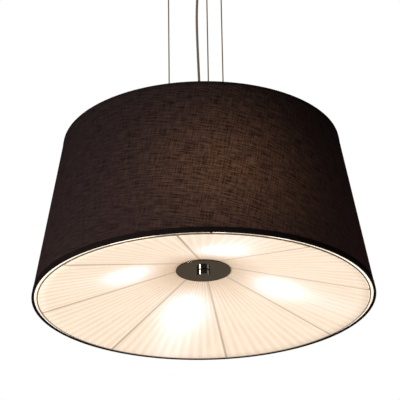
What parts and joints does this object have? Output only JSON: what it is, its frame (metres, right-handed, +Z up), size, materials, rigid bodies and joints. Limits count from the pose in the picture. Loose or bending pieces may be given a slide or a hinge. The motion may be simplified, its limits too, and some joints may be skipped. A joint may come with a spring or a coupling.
{
  "type": "drum chandelier",
  "caption": "Hanging drum lamp: tapered cloth shade on steel wires, pleated panel below held by a disc and knob, screw-in bulbs, round ceiling canopy.",
  "frame": {"origin": "middle of the ceiling bracket's top face, which lies against the ceiling", "axes": "+Z up into the ceiling; the lamp hangs along -Z; -Y is the side nearest the picture's camera, and a bulb lies along +X"},
  "size_m": [0.6, 0.6, 0.723],
  "materials": {
    "zinc_steel": "bright zinc plate, slightly dull",
    "canopy_enamel": "satin black enamel on spun steel",
    "nickel": "bright nickel plate",
    "wire_steel": "fine stranded steel wire, grey brown",
    "cord_sheath": "round grey-brown mains cord",
    "brown_cloth": "dark brown linen weave, matt, lit from inside",
    "dark_tape": "folded edge tape in the same cloth, darker",
    "panel_wire": "dark brown coated wire",
    "white_liner": "white lampshade liner, lit",
    "chiffon": "pleated cream chiffon, lit from behind",
    "white_enamel": "white enamel",
    "black_chrome": "dark mirror-bright chrome",
    "opal_glass": "frosted bulb glass, lit",
    "cap_metal": "bulb caps and crimped ferrules",
    "white_plastic": "white moulded plastic",
    "black_plastic": "black moulded plastic",
    "brown_lead": "brown insulation",
    "blue_lead": "blue insulation",
    "green_lead": "green and yellow insulation"
  },
  "bodies": {
    "canopy": {"ceiling_bracket": "zinc_steel", "canopy_cup": "canopy_enamel", "canopy_screw_1": "nickel", "canopy_screw_2": "nickel", "cable_grip_1": "nickel", "cable_grip_2": "nickel", "cable_grip_3": "nickel", "wire_tail_1": "wire_steel", "wire_tail_2": "wire_steel", "wire_tail_3": "wire_steel", "canopy_gland": "black_plastic", "cord_end": "cord_sheath", "terminal_block": "white_plastic", "lead_live": "brown_lead", "lead_neutral": "blue_lead", "lead_earth": "green_lead"},
    "nozzle_1": {"grip_nozzle_1": "nickel"},
    "nozzle_2": {"grip_nozzle_2": "nickel"},
    "nozzle_3": {"grip_nozzle_3": "nickel"},
    "wire_1": {"suspension_wire_1": "wire_steel"},
    "wire_2": {"suspension_wire_2": "wire_steel"},
    "wire_3": {"suspension_wire_3": "wire_steel"},
    "cord": {"power_cord": "cord_sheath"},
    "lamp": {"carrier_plate": "zinc_steel", "wire_anchor_1": "nickel", "wire_anchor_2": "nickel", "wire_anchor_3": "nickel", "wire_ferrule_1": "cap_metal", "wire_ferrule_2": "cap_metal", "wire_ferrule_3": "cap_metal", "column_tube": "zinc_steel", "lamp_gland": "black_plastic", "column_cord": "cord_sheath", "splice_block": "white_plastic", "cluster_body": "white_enamel", "cluster_cover": "white_enamel", "lampholder_1": "white_plastic", "lampholder_2": "white_plastic", "lampholder_3": "white_plastic", "lampholder_4": "white_plastic", "top_ring_frame": "white_enamel", "bottom_ring": "white_enamel", "shade_liner": "white_liner", "shade_fabric": "brown_cloth", "top_hem": "dark_tape", "bottom_hem": "dark_tape", "threaded_rod": "zinc_steel"},
    "bulb_1": {"bulb_cap_1": "cap_metal", "bulb_glass_1": "opal_glass"},
    "bulb_2": {"bulb_cap_2": "cap_metal", "bulb_glass_2": "opal_glass"},
    "bulb_3": {"bulb_cap_3": "cap_metal", "bulb_glass_3": "opal_glass"},
    "bulb_4": {"bulb_cap_4": "cap_metal", "bulb_glass_4": "opal_glass"},
    "panel": {"diffuser_frame": "panel_wire", "diffuser_fabric": "chiffon"},
    "disc": {"finial_disc": "black_chrome"},
    "knob": {"finial_knob": "black_chrome"}
  },
  "joints": [
    {"name": "lamp_swing", "type": "hinge", "parent": "canopy", "child": "wire_1", "pos_m": [0, -0.06, -0.0523], "axis": [0, 1, 0], "range_deg": [-10, 10]},
    {"name": "lamp_level", "type": "hinge", "parent": "wire_1", "child": "lamp", "pos_m": [0, -0.06, -0.4214], "axis": [0, 1, 0], "range_deg": [-10, 10]},
    {"name": "wire_2_swing", "type": "hinge", "parent": "canopy", "child": "wire_2", "pos_m": [0.05196, 0.03, -0.0523], "axis": [0, 1, 0], "range_deg": [-10, 10]},
    {"name": "wire_3_swing", "type": "hinge", "parent": "canopy", "child": "wire_3", "pos_m": [-0.05196, 0.03, -0.0523], "axis": [0, 1, 0], "range_deg": [-10, 10]},
    {"name": "cord_swing", "type": "hinge", "parent": "canopy", "child": "cord", "pos_m": [0, 0, -0.0523], "axis": [0, 1, 0], "range_deg": [-10, 10]},
    {"name": "nozzle_1_press", "type": "slide", "parent": "canopy", "child": "nozzle_1", "axis": [0, 0, 1], "range_m": [0, 0.002], "stiffness_N_per_m": 400, "springref_m": -0.002},
    {"name": "nozzle_2_press", "type": "slide", "parent": "canopy", "child": "nozzle_2", "axis": [0, 0, 1], "range_m": [0, 0.002], "stiffness_N_per_m": 400, "springref_m": -0.002},
    {"name": "nozzle_3_press", "type": "slide", "parent": "canopy", "child": "nozzle_3", "axis": [0, 0, 1], "range_m": [0, 0.002], "stiffness_N_per_m": 400, "springref_m": -0.002},
    {"name": "bulb_1_out", "type": "slide", "parent": "lamp", "child": "bulb_1", "axis": [1, 0, 0], "range_m": [0, 0.027]},
    {"name": "bulb_2_out", "type": "slide", "parent": "lamp", "child": "bulb_2", "axis": [0, 1, 0], "range_m": [0, 0.027]},
    {"name": "bulb_3_out", "type": "slide", "parent": "lamp", "child": "bulb_3", "axis": [-1, 0, 0], "range_m": [0, 0.027]},
    {"name": "bulb_4_out", "type": "slide", "parent": "lamp", "child": "bulb_4", "axis": [0, -1, 0], "range_m": [0, 0.027]},
    {"name": "panel_drop", "type": "slide", "parent": "lamp", "child": "panel", "axis": [0, 0, -1], "range_m": [0, 0.15]},
    {"name": "finial_drop", "type": "slide", "parent": "panel", "child": "disc", "axis": [0, 0, -1], "range_m": [0, 0.008]},
    {"name": "knob_turn", "type": "hinge", "parent": "disc", "child": "knob", "pos_m": [0, 0, -0.6685], "axis": [0, 0, -1], "range_deg": [0, 2880]}
  ],
  "couplings": [
    {"joint": "lamp_level", "follows": "lamp_swing", "ratio": -1},
    {"joint": "wire_2_swing", "follows": "lamp_swing", "ratio": 1},
    {"joint": "wire_3_swing", "follows": "lamp_swing", "ratio": 1},
    {"joint": "cord_swing", "follows": "lamp_swing", "ratio": 1},
    {"joint": "knob_turn", "follows": "finial_drop", "rad_per_m": 6283.2}
  ]
}
